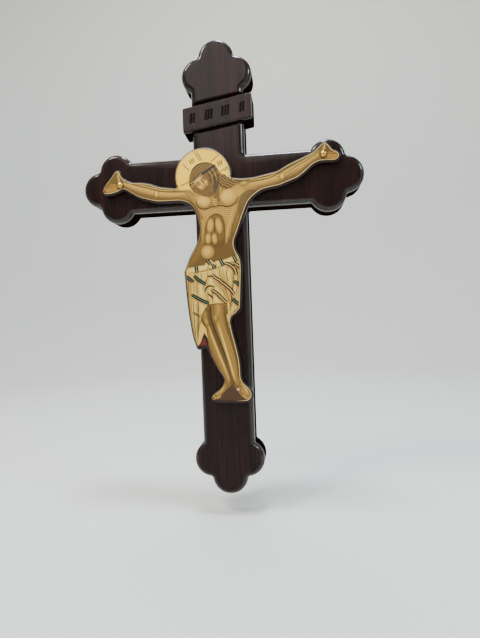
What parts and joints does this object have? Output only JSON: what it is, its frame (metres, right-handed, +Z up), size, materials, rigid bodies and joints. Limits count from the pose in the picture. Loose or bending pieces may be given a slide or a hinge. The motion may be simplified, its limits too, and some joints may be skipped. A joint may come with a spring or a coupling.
{
  "type": "wall crucifix",
  "caption": "Wall crucifix: a dark wooden cross with budded ends and a tilted title band, and a flat painted Byzantine figure nailed to its face.",
  "frame": {"origin": "on the flat back of the cross, where the axes of the post and the arms cross", "axes": "+Z up along the post, +Y out of the back into the wall, +X to the right as seen from the front, which faces -Y"},
  "size_m": [0.158, 0.0208, 0.254],
  "materials": {
    "cross_wood": "dark walnut stain under a satin lacquer",
    "figure_print": "thin board with a painted icon figure in ochre, cream and gold, satin varnish, dark brown edge",
    "nail_brass": "polished brass"
  },
  "bodies": {
    "root": {"cross": "cross_wood", "figure_plate": "figure_print", "nail_left": "nail_brass", "nail_right": "nail_brass"}
  },
  "joints": []
}
